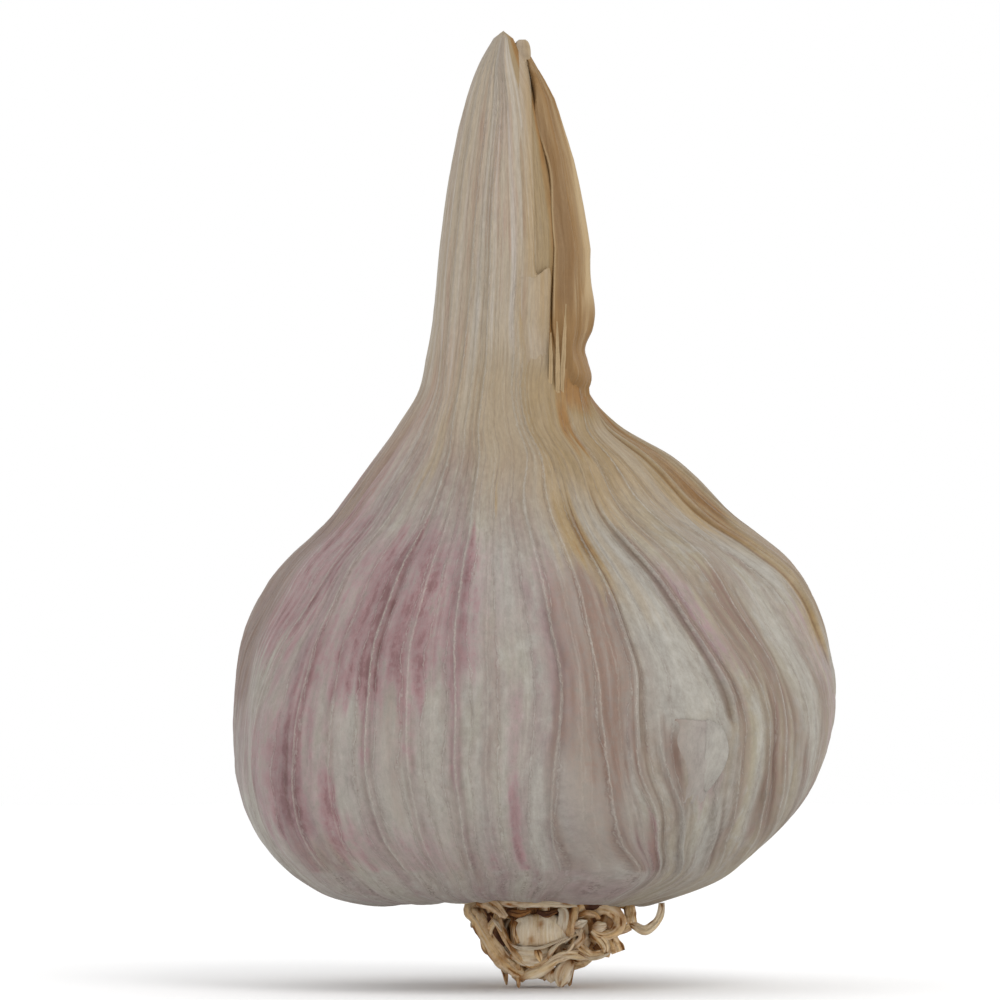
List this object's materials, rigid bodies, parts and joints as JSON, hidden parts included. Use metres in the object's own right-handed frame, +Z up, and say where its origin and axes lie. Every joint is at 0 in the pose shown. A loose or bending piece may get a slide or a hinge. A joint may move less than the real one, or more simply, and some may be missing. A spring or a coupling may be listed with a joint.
{
  "type": "garlic bulb",
  "caption": "Whole dried garlic bulb with its papery skin, tapering dry neck and trimmed root tuft, standing upright on the roots.",
  "frame": {"origin": "bottom centre of the whole bulb's bounding box, on the surface that the trimmed roots stand on", "axes": "+Z up along the bulb's axis from the roots to the tip of the neck; -Y is the front that shows the pink streaks and the folded edge of the neck; +X is that front's right, the side of the brown neck sheath"},
  "size_m": [0.0552, 0.0534, 0.0869],
  "materials": {
    "papery_skin": null,
    "dry_leaf": null,
    "dry_root": null
  },
  "bodies": {
    "root": {"bulb": "papery_skin", "neck_sheath": "dry_leaf", "root_tuft": "dry_root"}
  },
  "joints": []
}
